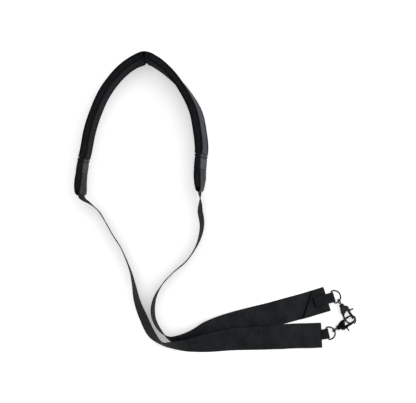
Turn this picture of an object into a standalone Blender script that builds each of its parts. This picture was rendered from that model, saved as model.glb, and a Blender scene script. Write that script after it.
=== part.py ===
"""A camera neck strap: a padded neck band standing on its edge, two webbing straps
that twist from their edge to lying flat, and two swivel claw hooks linked together.

Metres, +Z up. The strap lies on the plane z = 0. The origin is at the middle of its
bounding box, on that plane. Sizes below are in millimetres and multiplied by MM.
"""
import math

import bmesh
import bpy
from mathutils import Matrix, Vector

MM = 0.001
GAP = 0.3                      # clearance between touching pieces
LAYOUT_ORIGIN = (-6.28, 2.36)   # point of the layout that becomes the origin

# Neck pad
PAD_HEIGHT = 50.0
PAD_STEP = 9.1                 # spacing of the pad's sections
FACE_THICK = 1.2               # smooth facing cloth on both sides
BINDING_THICK = 1.7            # folded tape along the four long edges
BINDING_WIDTH = 4.4
CORE_CHAMFER = 1.0
TAB_LENGTH = 55.0              # leather end patches
TAB_THICK = 1.4
TAB_REACH = 3.0                # how far the patches run past the foam
TIP_INSET = 6.0                # how much lower the pad is at its tips
TIP_ROUND = 14.0               # length over which the tips are rounded

# Webbing
WEB_WIDTH = 38.0
WEB_THICK = 1.3
WEB_STEP = 7.5
LOWER_TAIL = 51.0              # webbing folded back under the lower end, and its slant
LOWER_SLANT = 6.0
UPPER_TAIL = 31.5              # webbing folded back over the upper end, and its slant
UPPER_SLANT = 14.0
TAIL_ROWS = 8
WEB_CLEAR = 0.08               # the webbing's lowest edge above the surface
LOOP_WIDTH = 15.0
LOOP_THICK = 1.1
LOOP_SEWN = 20.5               # length of the narrow loop on the webbing
RING_AHEAD = 10.2              # from the webbing's end to the ring's straight bar

# D-rings
RING_WIRE = 1.1                # radius
RING_HALF = 9.6                # half the length of the straight bar, over the wire's middle
RING_DEPTH = 11.8
RING_CORNER = 2.2              # how far ahead of the bar the round bow starts

# Hooks, along X from the eye's middle, with the gate on the +Y side
EYE_RADIUS = 3.4
EYE_WIRE = 0.85
EYE_PULL = 0.6                 # the eye's middle past the ring's wire
STEM_RADIUS = 1.3
BARREL_RADIUS = 3.8
BARREL_START = 4.9
BARREL_END = 10.5
CLAW_THICK = 2.4
CHEEK_THICK = 1.0
PIVOT = (13.8, 4.9)
RIVET_RADIUS = 1.0
RIVET_HEAD = 1.7
HEAD_THICK = 0.45

# Crest of the pad, from its left tip over the top to its right tip:
# x, y, whole thickness, inward lean in degrees
PAD_PATH = [
    (-213.9, 17.5, 8.8, 0), (-213.6, 25, 10.4, 1), (-212.8, 34, 11.4, 3), (-211.1, 46, 11.6, 3.9),
    (-207.8, 67, 11.4, 4.4), (-204.2, 82, 11.4, 4.2), (-198.2, 113.5, 11.6, 4), (-188.3, 144, 11.3, 4),
    (-174, 174, 11.6, 4), (-150, 204, 11.6, 3.5), (-129, 219.6, 11.6, 2), (-110.5, 226.5, 12, -2),
    (-92, 218.6, 11.6, -4), (-68.5, 197, 11.6, -2), (-51.3, 172, 11.6, 1.8), (-36.8, 142, 12.2, 4.8),
    (-30.5, 112, 12.3, 5), (-27.9, 88, 12, 5), (-28.4, 75, 11, 4.6), (-29.9, 54, 11.3, 4.1),
    (-29.9, 41, 11.3, 3.5), (-29.3, 31, 10.4, 1.4), (-28.8, 22.5, 8.8, 0)]

# Middle of each strap, from the pad to its hook end: x, y, roll in degrees, lift.
# Roll 0 stands on its edge, 90 lies flat; lift is the height of its lowest edge.
LEFT_PATH = [
    (-213.6, 16.5, 0, 6), (-211.4, 10.5, -1, 5.5), (-205.2, 5.5, 0.5, 4), (-196.5, -1, 6, 1),
    (-186.5, -10, 8.5, 0), (-175, -28.5, 11, 0), (-164.3, -47, 11, 0), (-152, -66, 11, 0),
    (-137, -101.5, 14, 0), (-132, -121, 18, 0), (-126.5, -148, 25, 0), (-116, -175, 30, 0),
    (-103.5, -199, 28.5, 0), (-86, -213.5, 16, 0), (-72, -215.5, 22.5, 0), (-53, -216, 33, 0),
    (-37, -214.5, 42, 0), (-18, -212, 52, 0), (16, -207, 65, 0), (65, -204, 76, 0),
    (86, -202.5, 84, 0.4), (95, -201.8, 88, 2.2), (104, -201, 89, 2.4), (124, -200, 90, 2.4),
    (134, -199.5, 90, 4.6), (154.5, -198.5, 90, 4.6)]
RIGHT_PATH = [
    (-28.7, 21.5, 0, 6), (-28.5, 16, 1, 5), (-28.4, 8, 8, 2.5), (-28.6, -1, 14, 0), (-28.7, -11, 17, 0),
    (-27, -20, 17, 0), (-26, -32, 15, 0), (-28.8, -48, 12, 0), (-36, -66, 7, 0),
    (-49.7, -86, 4.5, 0), (-70.5, -104, 3.3, 0), (-86.2, -121, 4.8, 0), (-98, -141, 2, 0),
    (-101.8, -161, 0.5, 0), (-98.8, -178, 3, 0), (-88.3, -195, 7, 0), (-74, -206, 19, 0),
    (-58, -207.5, 32, 0), (-43, -205, 41, 0), (-29, -200, 50, 0), (-17, -194.5, 60, 0),
    (-5, -190.5, 68, 0), (18, -184, 80, 0), (54.5, -174.7, 90, 0), (79, -168.5, 90, 0),
    (103.5, -161.5, 90, 0), (128.5, -154.5, 90, 0), (163, -143.8, 90, 0)]

# Where a ring lies: heading, height of its bar and of its bow, in millimetres
UPPER_RING = dict(heading=17.0, bar_z=4.5, bow_z=7.5)
LOWER_RING = dict(heading=13.0, bar_z=2.7, bow_z=4.1)

# Hook: angle round the ring's bow where its eye hangs, heading, pitch up, side of the
# gate (1 left, -1 right), roll about its own axis, and the eye's own turn in the barrel
UPPER_HOOK = dict(bow=-58.0, heading=-59.6, pitch=1.0, side=1, roll=-22.0, eye_roll=45.0)
LOWER_HOOK = dict(bow=18.0, heading=34.0, pitch=14.0, side=-1, roll=35.0, eye_roll=-50.0)

# Outlines of the claw, the cheeks and the gate, seen from above with the eye at 0, 0
CLAW_OUTLINE = [
    (13, -4.6), (20, -7.2), (27, -7.9), (33, -6.9), (37.2, -3.8), (38.5, 0.6), (37.3, 5.0),
    (34.9, 8.2), (32.4, 8.9), (32.1, 7.5), (34.2, 6.2), (35.5, 3.0), (35.8, 0), (34.8, -2.8),
    (31.6, -4.8), (27, -5.2), (22, -4.4), (19.6, -2.0), (16, -0.4)]
CHEEK_OUTLINE = [
    (9.4, -3.6), (13, -5.4), (17.5, -6.6), (20.0, -5.4), (19.2, -1.6), (17.6, 2.2), (17.0, 5.6),
    (14.8, 7.9), (12, 7.0), (9.4, 3.6)]
GATE_OUTLINE = [
    (11.7, 3.5), (13.8, 2.5), (17, 2.8), (21, 3.3), (27, 3.9), (32.2, 3.9), (33.4, 5.2),
    (32.2, 6.5), (29.6, 7.2), (26, 7.5), (21.8, 7.4), (20.6, 8.6), (20.9, 13.8), (19.8, 14.2),
    (18.4, 9.0), (15.6, 7.6), (12.4, 7.0), (11.3, 5.2)]

BLACK_CLOTH = dict(colour=(0.012, 0.013, 0.014), roughness=0.85, metallic=0.0)
BLACK_FACING = dict(colour=(0.022, 0.024, 0.027), roughness=0.5, metallic=0.0)
BLACK_LEATHER = dict(colour=(0.035, 0.037, 0.042), roughness=0.5, metallic=0.0)
BLACK_WEBBING = dict(colour=(0.016, 0.018, 0.020), roughness=0.7, metallic=0.0)
BLACK_METAL = dict(colour=(0.02, 0.021, 0.023), roughness=0.3, metallic=1.0)


def clear_scene():
    for thing in list(bpy.data.objects):
        bpy.data.objects.remove(thing, do_unlink=True)


clear_scene()
STRAP = bpy.data.collections.new("camera_neck_strap")
CUTTERS = bpy.data.collections.new("cutters")
bpy.context.scene.collection.children.link(STRAP)
bpy.context.scene.collection.children.link(CUTTERS)


def material(name, finish):
    """A Principled material with the finish's colour, roughness and metallic value."""
    made = bpy.data.materials.get(name)
    if made is None:
        made = bpy.data.materials.new(name)
        made.use_nodes = True
        shader = made.node_tree.nodes["Principled BSDF"]
        shader.inputs["Base Color"].default_value = (*finish["colour"], 1.0)
        shader.inputs["Roughness"].default_value = finish["roughness"]
        shader.inputs["Metallic"].default_value = finish["metallic"]
    return made


def put(name, mesh, finish_name, finish, collection=STRAP):
    thing = bpy.data.objects.new(name, mesh)
    mesh.materials.clear()
    mesh.materials.append(material(finish_name, finish))
    collection.objects.link(thing)
    return thing


def smooth_path(rows, step):
    """Points at even steps on a centripetal Catmull-Rom curve through the rows.

    The first two values of a row are its place; the others follow along.
    """
    def mix(a, b, share):
        return [p + (q - p) * share for p, q in zip(a, b)]

    first = [2 * a - b for a, b in zip(rows[0], rows[1])]
    last = [2 * a - b for a, b in zip(rows[-1], rows[-2])]
    knots = [first, *rows, last]
    dense = []
    for i in range(1, len(knots) - 2):
        four = knots[i - 1:i + 3]
        times = [0.0]
        for a, b in zip(four, four[1:]):
            times.append(times[-1] + math.sqrt(math.hypot(b[0] - a[0], b[1] - a[1])))
        for k in range(16):
            t = times[1] + (times[2] - times[1]) * k / 16

            def between(a, b, start, end):
                return mix(a, b, (t - times[start]) / (times[end] - times[start]))

            low = between(four[0], four[1], 0, 1)
            mid = between(four[1], four[2], 1, 2)
            high = between(four[2], four[3], 2, 3)
            dense.append(between(between(low, mid, 0, 2), between(mid, high, 1, 3), 1, 2))
    dense.append(list(rows[-1]))
    run = [0.0]
    for a, b in zip(dense, dense[1:]):
        run.append(run[-1] + math.hypot(b[0] - a[0], b[1] - a[1]))
    count = max(2, round(run[-1] / step))
    points = []
    at = 0
    for k in range(count + 1):
        want = run[-1] * k / count
        while at < len(run) - 2 and run[at + 1] < want:
            at += 1
        points.append(mix(dense[at], dense[at + 1], (want - run[at]) / (run[at + 1] - run[at])))
    return points, run[-1]


def headings(points):
    """Unit direction of travel in plan at each point."""
    result = []
    for i in range(len(points)):
        a = points[max(i - 1, 0)]
        b = points[min(i + 1, len(points) - 1)]
        result.append(Vector((b[0] - a[0], b[1] - a[1], 0)).normalized())
    return result


def left_of(direction):
    return Vector((-direction.y, direction.x, 0))


def layout(point):
    """From the layout's millimetres to metres about the origin."""
    return Vector((point[0] - LAYOUT_ORIGIN[0], point[1] - LAYOUT_ORIGIN[1], point[2])) * MM


def strip(name, rows, thickness, finish_name, finish):
    """A sheet through rows of points, thickened evenly to both sides."""
    bm = bmesh.new()
    grid = [[bm.verts.new(layout(p)) for p in row] for row in rows]
    for row, following in zip(grid, grid[1:]):
        for j in range(len(row) - 1):
            bm.faces.new((row[j], following[j], following[j + 1], row[j + 1]))
    mesh = bpy.data.meshes.new(name)
    bm.to_mesh(mesh)
    bm.free()
    thing = put(name, mesh, finish_name, finish)
    wall = thing.modifiers.new("wall", "SOLIDIFY")
    wall.thickness = thickness * MM
    wall.offset = 0.0
    wall.use_even_offset = True
    return thing


def loft(name, sections, finish_name, finish):
    """A closed body through rings of points, capped at both ends.

    Each side is split from the low corner of one ring to the high corner of the next, so
    that bodies lofted along the same sections keep their clearance where they twist.
    """
    bm = bmesh.new()
    rings = [[bm.verts.new(layout(p)) for p in ring] for ring in sections]
    for ring, following in zip(rings, rings[1:]):
        for j in range(len(ring)):
            k = (j + 1) % len(ring)
            a, b, c, d = ring[j], ring[k], following[k], following[j]
            if b.co.z >= a.co.z:
                bm.faces.new((a, b, c))
                bm.faces.new((a, c, d))
            else:
                bm.faces.new((a, b, d))
                bm.faces.new((b, c, d))
    bm.faces.new(rings[0])
    bm.faces.new(rings[-1])
    bmesh.ops.recalc_face_normals(bm, faces=bm.faces)
    mesh = bpy.data.meshes.new(name)
    bm.to_mesh(mesh)
    bm.free()
    return put(name, mesh, finish_name, finish)


# Neck pad ---------------------------------------------------------------------------

class Pad:
    """Sections of the pad: where a point at a side offset and a height lies."""

    def __init__(self, rows):
        self.sections, self.length = smooth_path(rows, PAD_STEP)
        self.outward = [left_of(d) for d in headings(self.sections)]
        self.count = len(self.sections)

    def travel(self, i):
        return self.length * i / (self.count - 1)

    def from_tip(self, i):
        return max(0.0, min(self.travel(i), self.length - self.travel(i)))

    def inset(self, i):
        """How far the section's edges are drawn in near the rounded tips."""
        short = max(0.0, TIP_ROUND - self.from_tip(i)) / TIP_ROUND
        return TIP_INSET * (1 - math.sqrt(1 - short * short))

    def core_half(self, i):
        return self.sections[i][2] / 2 - BINDING_THICK - GAP

    def point(self, i, side, height, ahead=0.0):
        x, y, _, lean = self.sections[i]
        out = self.outward[i]
        shift = side + (PAD_HEIGHT - height) * math.tan(math.radians(lean))
        along = Vector((out.y, -out.x, 0)) * ahead
        return (x + out.x * shift + along.x, y + out.y * shift + along.y, height)


def pad_core(pad):
    sections = []
    for i in range(pad.count):
        half, low = pad.core_half(i), pad.inset(i)
        high = PAD_HEIGHT - low
        cut = min(CORE_CHAMFER, half * 0.6)
        ring = [(-half + cut, low), (half - cut, low), (half, low + cut), (half, high - cut),
                (half - cut, high), (-half + cut, high), (-half, high - cut), (-half, low + cut)]
        sections.append([pad.point(i, side, height) for side, height in ring])
    loft("pad_core", sections, "black boxing cloth", BLACK_CLOTH)


def layer_section(pad, i, side, thickness, low, high, ahead=0.0):
    """Ring of a layer that lies on one side of the core."""
    near = side * (pad.core_half(i) + GAP)
    far = near + side * thickness
    ring = [(near, low), (far, low), (far, high), (near, high)]
    return [pad.point(i, offset, height, ahead) for offset, height in ring]


def pad_layer(pad, name, side, thickness, low, high, finish_name, finish):
    """One layer on a side of the core, from one end patch to the other."""
    first = min(i for i in range(pad.count) if pad.from_tip(i) > TAB_LENGTH) - 1
    last = pad.count - 1 - first
    sections = []
    for i in range(first, last + 1):
        ahead = GAP if i == first else -GAP if i == last else 0.0
        sections.append(layer_section(pad, i, side, thickness, low, high, ahead))
    loft(name, sections, finish_name, finish)


def pad_tab(pad, name, side, at_start):
    """The leather patch on one side of one end of the pad."""
    indices = [i for i in range(pad.count) if pad.from_tip(i) <= TAB_LENGTH
               and (pad.travel(i) < pad.length / 2) == at_start]
    sections = []
    for i in indices:
        low = pad.inset(i) + GAP
        sections.append(layer_section(pad, i, side, TAB_THICK, low, PAD_HEIGHT - low))
    tip = indices[0] if at_start else indices[-1]
    reach = -TAB_REACH if at_start else TAB_REACH
    low = pad.inset(tip) + GAP + 1
    end = layer_section(pad, tip, side, TAB_THICK, low, PAD_HEIGHT - low, reach)
    sections.insert(0 if at_start else len(sections), end)
    loft(name, sections, "black leather", BLACK_LEATHER)


def neck_pad():
    pad = Pad(PAD_PATH)
    pad_core(pad)
    low, high = GAP, PAD_HEIGHT - GAP
    for name, side in (("outer", 1), ("inner", -1)):
        pad_layer(pad, "pad_face_" + name, side, FACE_THICK, low + BINDING_WIDTH + GAP,
                  high - BINDING_WIDTH - GAP, "smooth facing cloth", BLACK_FACING)
        pad_layer(pad, "binding_%s_bottom" % name, side, BINDING_THICK, low,
                  low + BINDING_WIDTH, "black binding tape", BLACK_CLOTH)
        pad_layer(pad, "binding_%s_top" % name, side, BINDING_THICK, high - BINDING_WIDTH,
                  high, "black binding tape", BLACK_CLOTH)
        pad_tab(pad, "end_tab_left_" + name, side, True)
        pad_tab(pad, "end_tab_right_" + name, side, False)


# Webbing and its narrow loops ---------------------------------------------------------

def web_rows(rows):
    """Lower and upper edge of the webbing at each step, and the last direction."""
    points, _ = smooth_path(rows, WEB_STEP)
    result = []
    for (x, y, roll, lift), direction in zip(points, headings(points)):
        lean = math.radians(roll)
        across = left_of(direction) * math.sin(lean) + Vector((0, 0, math.cos(lean)))
        rise = WEB_WIDTH / 2 * abs(math.cos(lean)) + WEB_THICK / 2 * math.sin(lean)
        middle = Vector((x, y, rise + max(lift, 0) + WEB_CLEAR))
        result.append([middle - across * WEB_WIDTH / 2, middle + across * WEB_WIDTH / 2])
    return result


def back_along(edge, distance):
    """The point this far back from the end of an edge."""
    for near, far in zip(edge[::-1], edge[-2::-1]):
        span = (near - far).length
        if distance <= span:
            return near.lerp(far, distance / span)
        distance -= span
    return edge[0]


def turn_back(rows, tail, slant, above):
    """Rows that fold the webbing back over (or under) its own last run.

    The cut end slants: the lower edge's tail is longer by the slant, the upper's shorter.
    """
    radius = (WEB_THICK + GAP) / 2 * (1 if above else -1)
    low_edge = [row[0] for row in rows]
    high_edge = [row[1] for row in rows]
    ahead = (low_edge[-1] - low_edge[-2]).normalized()
    folded = []
    for k in range(1, 6):
        turn = math.pi * k / 6
        move = ahead * abs(radius) * math.sin(turn) + Vector((0, 0, radius * (1 - math.cos(turn))))
        folded.append([low_edge[-1] + move, high_edge[-1] + move])
    lift = Vector((0, 0, 2 * radius))
    for k in range(TAIL_ROWS + 1):
        share = k / TAIL_ROWS
        folded.append([back_along(low_edge, share * (tail + slant)) + lift,
                       back_along(high_edge, share * (tail - slant)) + lift])
    return folded


def webbing():
    """Both straps with the tails folded back at their ends."""
    left = web_rows(LEFT_PATH)
    left += turn_back(left, LOWER_TAIL, LOWER_SLANT, above=False)
    strip("webbing_left", left, WEB_THICK, "black webbing", BLACK_WEBBING)
    right = web_rows(RIGHT_PATH)
    right += turn_back(right, UPPER_TAIL, UPPER_SLANT, above=True)
    strip("webbing_right", right, WEB_THICK, "black webbing", BLACK_WEBBING)


def narrow_loop(name, end, heading, sewn_z, bar_z):
    """A doubled tape from the webbing's end round the ring's bar, both legs sewn down."""
    ahead = Vector((math.cos(math.radians(heading)), math.sin(math.radians(heading)), 0))
    aside = left_of(ahead) * LOOP_WIDTH / 2
    end = Vector((end[0], end[1], 0))
    spread = (LOOP_THICK + GAP) / 2
    turn = RING_WIRE + GAP + LOOP_THICK / 2
    profile = [(-LOOP_SEWN, sewn_z - spread), (2.2, sewn_z - spread),
               (RING_AHEAD - 4.5, bar_z - turn * 0.8)]
    for k in range(9):
        angle = math.radians(-110 + 220 * k / 8)
        profile.append((RING_AHEAD + turn * math.cos(angle), bar_z + turn * math.sin(angle)))
    profile += [(RING_AHEAD - 4.5, bar_z + turn * 0.8), (2.2, sewn_z + spread),
                (-LOOP_SEWN, sewn_z + spread)]
    rows = []
    for forward, height in profile:
        middle = end + ahead * forward + Vector((0, 0, height))
        rows.append([middle - aside, middle + aside])
    strip(name, rows, LOOP_THICK, "black narrow tape", BLACK_WEBBING)


# Metal --------------------------------------------------------------------------------

def tube(name, points, radius, cyclic, collection=STRAP):
    curve = bpy.data.curves.new(name, "CURVE")
    curve.dimensions = "3D"
    curve.bevel_depth = radius * MM
    curve.bevel_resolution = 2
    curve.use_fill_caps = True
    spline = curve.splines.new("POLY")
    spline.points.add(len(points) - 1)
    for point, place in zip(spline.points, points):
        point.co = (*layout(place), 1.0)
    spline.use_cyclic_u = cyclic
    thing = bpy.data.objects.new(name, curve)
    curve.materials.append(material("black plated steel", BLACK_METAL))
    collection.objects.link(thing)
    return thing


def ring_place(end, ring, forward, aside):
    """A point of a ring's plane, from the middle of its bar, in layout millimetres."""
    heading = math.radians(ring["heading"])
    ahead = Vector((math.cos(heading), math.sin(heading), 0))
    rise = (ring["bow_z"] - ring["bar_z"]) / RING_DEPTH
    place = Vector((end[0], end[1], ring["bar_z"])) + ahead * (RING_AHEAD + forward)
    return place + left_of(ahead) * aside + Vector((0, 0, rise * forward))


def bow_place(end, ring, degrees):
    """A point of the ring's bow."""
    angle = math.radians(degrees)
    forward = RING_CORNER + (RING_DEPTH - RING_CORNER) * math.cos(angle)
    return ring_place(end, ring, forward, RING_HALF * math.sin(angle))


def d_ring(name, end, ring):
    """A wire D: a straight bar in the narrow loop and a bow towards the hook."""
    half = RING_HALF - RING_CORNER
    points = [ring_place(end, ring, 0, half), ring_place(end, ring, 0, -half),
              ring_place(end, ring, 0.5, 0.6 - RING_HALF)]
    points += [bow_place(end, ring, -90 + 10 * k) for k in range(19)]
    points.append(ring_place(end, ring, 0.5, RING_HALF - 0.6))
    tube(name, points, RING_WIRE, cyclic=True)


def plate(name, outline, thickness, round_edge):
    """A flat plate from a smooth closed outline, with rounded edges, as a mesh."""
    curve = bpy.data.curves.new(name, "CURVE")
    curve.dimensions = "2D"
    curve.fill_mode = "BOTH"
    curve.resolution_u = 2
    curve.extrude = (thickness / 2 - round_edge) * MM
    curve.bevel_depth = round_edge * MM
    curve.bevel_resolution = 1
    curve.offset = -round_edge * MM
    spline = curve.splines.new("BEZIER")
    spline.bezier_points.add(len(outline) - 1)
    spline.use_cyclic_u = True
    for point, (x, y) in zip(spline.bezier_points, outline):
        point.co = (x * MM, y * MM, 0)
        point.handle_left_type = "AUTO"
        point.handle_right_type = "AUTO"
    return as_mesh(bpy.data.objects.new(name, curve))


def as_mesh(thing):
    """The evaluated shape of a curve object as a welded mesh in a new object."""
    CUTTERS.objects.link(thing)
    graph = bpy.context.evaluated_depsgraph_get()
    graph.update()
    mesh = bpy.data.meshes.new_from_object(thing.evaluated_get(graph))
    bm = bmesh.new()
    bm.from_mesh(mesh)
    bmesh.ops.remove_doubles(bm, verts=bm.verts, dist=1e-6)
    bmesh.ops.recalc_face_normals(bm, faces=bm.faces)
    bm.to_mesh(mesh)
    bm.free()
    name = thing.name
    bpy.data.objects.remove(thing)
    return put(name, mesh, "black plated steel", BLACK_METAL)


def cylinder(name, start, end, radius, collection, sides=16):
    """A cylinder between two points of a hook's own millimetres."""
    start, end = Vector(start), Vector(end)
    bm = bmesh.new()
    axis = (end - start).normalized()
    turn = axis.to_track_quat("Z", "Y").to_matrix().to_4x4()
    place = Matrix.Translation((start + end) / 2 * MM) @ turn
    bmesh.ops.create_cone(bm, cap_ends=True, segments=sides, radius1=radius * MM,
                          radius2=radius * MM, depth=(end - start).length * MM, matrix=place)
    mesh = bpy.data.meshes.new(name)
    bm.to_mesh(mesh)
    bm.free()
    return put(name, mesh, "black plated steel", BLACK_METAL, collection)


def block(name, low, high):
    """A box cutter between two corners of a hook's own millimetres."""
    bm = bmesh.new()
    low, high = Vector(low) * MM, Vector(high) * MM
    size = high - low
    place = Matrix.Translation((low + high) / 2) @ Matrix.Diagonal((*size, 1.0))
    bmesh.ops.create_cube(bm, size=1.0, matrix=place)
    mesh = bpy.data.meshes.new(name)
    bm.to_mesh(mesh)
    bm.free()
    return put(name, mesh, "black plated steel", BLACK_METAL, CUTTERS)


def torus(name, radius, wire, collection):
    """A ring round the hook's own origin, in its XZ plane."""
    around, about = 20, 8
    sections = []
    bm = bmesh.new()
    for i in range(around):
        angle = 2 * math.pi * i / around
        ring = []
        for j in range(about):
            turn = 2 * math.pi * j / about
            reach = radius + wire * math.cos(turn)
            place = (reach * math.cos(angle), wire * math.sin(turn), reach * math.sin(angle))
            ring.append(bm.verts.new(Vector(place) * MM))
        sections.append(ring)
    for i in range(around):
        ring, following = sections[i], sections[(i + 1) % around]
        for j in range(about):
            k = (j + 1) % about
            bm.faces.new((ring[j], ring[k], following[k], following[j]))
    bmesh.ops.recalc_face_normals(bm, faces=bm.faces)
    mesh = bpy.data.meshes.new(name)
    bm.to_mesh(mesh)
    bm.free()
    return put(name, mesh, "black plated steel", BLACK_METAL, collection)


def combine(thing, other, operation):
    """Join another shape to a thing, or cut it away, with an exact Boolean."""
    step = thing.modifiers.new(other.name, "BOOLEAN")
    step.operation = operation
    step.object = other
    step.solver = "EXACT"
    if other.name in STRAP.objects:
        STRAP.objects.unlink(other)
        CUTTERS.objects.link(other)
    other.hide_render = True
    other.display_type = "WIRE"


def hook(word, place, eye_place):
    """One swivel hook: eye, body with claw, gate lever and its rivet."""
    frame = bpy.data.objects.new("hook_axis_" + word, None)
    STRAP.objects.link(frame)
    side = place["side"]
    turn = (Matrix.Rotation(math.radians(place["heading"]), 4, "Z")
            @ Matrix.Rotation(math.radians(-place["pitch"]), 4, "Y")
            @ Matrix.Rotation(math.radians(place["roll"] * side), 4, "X"))
    ahead = turn @ Vector((EYE_PULL, 0, 0))
    frame.matrix_world = Matrix.Translation(layout(eye_place + ahead)) @ turn

    def own(points):
        """Outline on the gate's side, wound the same way on both hooks."""
        return [(x, y * side) for x, y in points][::side]

    def ride(thing):
        thing.parent = frame
        return thing

    eye = ride(torus("swivel_eye_" + word, EYE_RADIUS, EYE_WIRE, STRAP))
    eye.rotation_euler = (math.radians(place["eye_roll"] * side), 0, 0)
    stem = ride(cylinder("stem_" + word, (EYE_RADIUS, 0, 0), (9.0, 0, 0), STEM_RADIUS, CUTTERS, 10))
    combine(eye, stem, "UNION")

    slot = CLAW_THICK / 2 + GAP
    cheek = slot + CHEEK_THICK
    body = ride(plate("hook_body_" + word, own(CHEEK_OUTLINE), 2 * cheek, 0.7))
    claw = ride(plate("claw_" + word, own(CLAW_OUTLINE), CLAW_THICK, 0.9))
    barrel = ride(cylinder("barrel_" + word, (BARREL_START, 0, 0), (BARREL_END, 0, 0),
                           BARREL_RADIUS, CUTTERS, 20))
    bore = ride(cylinder("bore_" + word, (BARREL_START - 1, 0, 0), (9.6, 0, 0),
                         STEM_RADIUS + GAP, CUTTERS, 12))
    near, far = sorted((1.2 * side, 12 * side))
    opening = ride(block("slot_" + word, (10.3, near, -slot), (22, far, slot)))
    pin = (PIVOT[0], PIVOT[1] * side)
    hole = ride(cylinder("hole_" + word, (*pin, -5), (*pin, 5), RIVET_RADIUS + GAP, CUTTERS, 12))
    combine(body, barrel, "UNION")
    combine(body, opening, "DIFFERENCE")
    combine(body, claw, "UNION")
    combine(body, bore, "DIFFERENCE")
    combine(body, hole, "DIFFERENCE")

    pivot = bpy.data.objects.new("gate_axis_" + word, None)
    STRAP.objects.link(pivot)
    pivot.parent = frame
    pivot.location = (pin[0] * MM, pin[1] * MM, 0)
    gate = plate("gate_" + word, own(GATE_OUTLINE), CLAW_THICK, 0.7)
    gate.data.transform(Matrix.Translation((-pin[0] * MM, -pin[1] * MM, 0)))
    gate.parent = pivot
    combine(gate, hole, "DIFFERENCE")

    rivet = ride(cylinder("rivet_" + word, (*pin, -cheek - 0.5), (*pin, cheek + 0.5),
                          RIVET_RADIUS, STRAP, 12))
    for sign in (-1, 1):
        inner, outer = sign * (cheek + GAP), sign * (cheek + GAP + HEAD_THICK)
        head = ride(cylinder("head_%s_%s" % (word, "low" if sign < 0 else "high"),
                             (*pin, min(inner, outer)), (*pin, max(inner, outer)),
                             RIVET_HEAD, CUTTERS, 12))
        combine(rivet, head, "UNION")


def shade():
    """Round metal is shaded smooth."""
    for thing in STRAP.objects:
        if thing.type == "MESH" and thing.name.startswith(("hook", "gate", "swivel", "rivet")):
            thing.data.shade_smooth()
            thing.data.set_sharp_from_angle(angle=math.radians(40))


neck_pad()
webbing()
narrow_loop("loop_upper", RIGHT_PATH[-1], UPPER_RING["heading"], 4.6, UPPER_RING["bar_z"])
narrow_loop("loop_lower", LEFT_PATH[-1], LOWER_RING["heading"], 1.3, LOWER_RING["bar_z"])
d_ring("d_ring_upper", RIGHT_PATH[-1], UPPER_RING)
d_ring("d_ring_lower", LEFT_PATH[-1], LOWER_RING)
hook("upper", UPPER_HOOK, bow_place(RIGHT_PATH[-1], UPPER_RING, UPPER_HOOK["bow"]))
hook("lower", LOWER_HOOK, bow_place(LEFT_PATH[-1], LOWER_RING, LOWER_HOOK["bow"]))
shade()
bpy.context.view_layer.update()
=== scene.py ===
"""A camera neck strap: padded band, two webbing straps and two linked swivel hooks.

The strap lies on a pale surface. Lengths in a section are millimetres in the strap's
layout, and lay() turns them into metres in the frame.
"""
from math import cos, exp, hypot, pi, radians, sin, sqrt, tan

import bmesh
import bpy
from mathutils import Matrix, Vector, noise


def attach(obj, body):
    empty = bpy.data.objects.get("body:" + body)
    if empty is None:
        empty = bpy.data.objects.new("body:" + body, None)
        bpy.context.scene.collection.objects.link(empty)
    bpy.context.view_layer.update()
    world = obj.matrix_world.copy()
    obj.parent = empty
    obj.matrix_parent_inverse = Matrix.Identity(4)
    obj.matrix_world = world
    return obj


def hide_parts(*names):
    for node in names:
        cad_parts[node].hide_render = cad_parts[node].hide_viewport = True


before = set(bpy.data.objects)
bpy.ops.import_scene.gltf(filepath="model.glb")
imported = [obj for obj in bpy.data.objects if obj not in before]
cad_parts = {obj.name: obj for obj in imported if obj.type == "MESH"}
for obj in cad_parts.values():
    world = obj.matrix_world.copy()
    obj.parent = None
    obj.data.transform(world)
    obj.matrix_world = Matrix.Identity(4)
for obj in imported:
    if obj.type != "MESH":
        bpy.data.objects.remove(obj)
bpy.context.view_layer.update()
BODY = "strap"
link = bpy.context.scene.collection.objects.link


# The padded band's filling: a strip of closed-cell foam, cut 50 mm wide and covered with
# plain black boxing cloth. It stands on its long edge, bent into an arch with a sharp
# crease at the top, and its cloth shows as the band's edge wall.
MM = 0.001
LAYOUT_ORIGIN = (-6.28, 2.36)
GAP = 0.3
PAD_HEIGHT = 50.0
PAD_STEP = 0.8
TAPE_THICK = 1.7
TIP_INSET = 4.0  # how far the corners of the band's ends are rounded off
TIP_ROUND = 14.0  # and over what length
CREASE_AT = 0.504  # share of the band's length at which it is creased
CREASE_LEAN = 5.4  # how much further along the crease is at the top edge
CREASE_DEPTH = 3.2  # how far the inner side is squeezed in there
CREASE_REACH = 2.4  # and how far to each side
FOAM_DROP = 7.0  # how much lower the foam is at its very ends
TIP_RIM = 6.0  # the length over which it drops and the leather closes in
PLEAT = 2.9  # from one pleat of the edge wall to the next
# x and y of the middle of the band's top edge, its thickness, and its lean in degrees.
PAD_PATH = [
    (-213.9, 17.5, 8.8, 0), (-213.6, 25, 10.4, 1), (-212.8, 34, 11.4, 3), (-211.1, 46, 11.6, 3.9),
    (-207.8, 67, 11.4, 4.4), (-204.2, 82, 11.4, 4.2), (-198.2, 113.5, 11.6, 4),
    (-188.3, 144, 11.3, 4), (-174, 174, 11.6, 4), (-150, 204, 11.6, 3.5),
    (-129, 219.6, 11.6, 2), (-110.5, 226.5, 12, -2),
    (-92, 218.6, 11.6, -4), (-68.5, 197, 11.6, -2), (-51.3, 172, 11.6, 1.8),
    (-36.8, 142, 12.2, 4.8), (-30.5, 112, 12.3, 5), (-27.9, 88, 12, 5), (-28.4, 75, 11, 4.6),
    (-29.9, 54, 11.3, 4.1), (-29.9, 41, 11.3, 3.5), (-29.3, 31, 10.4, 1.4), (-28.8, 22.5, 8.8, 0)]


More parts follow.
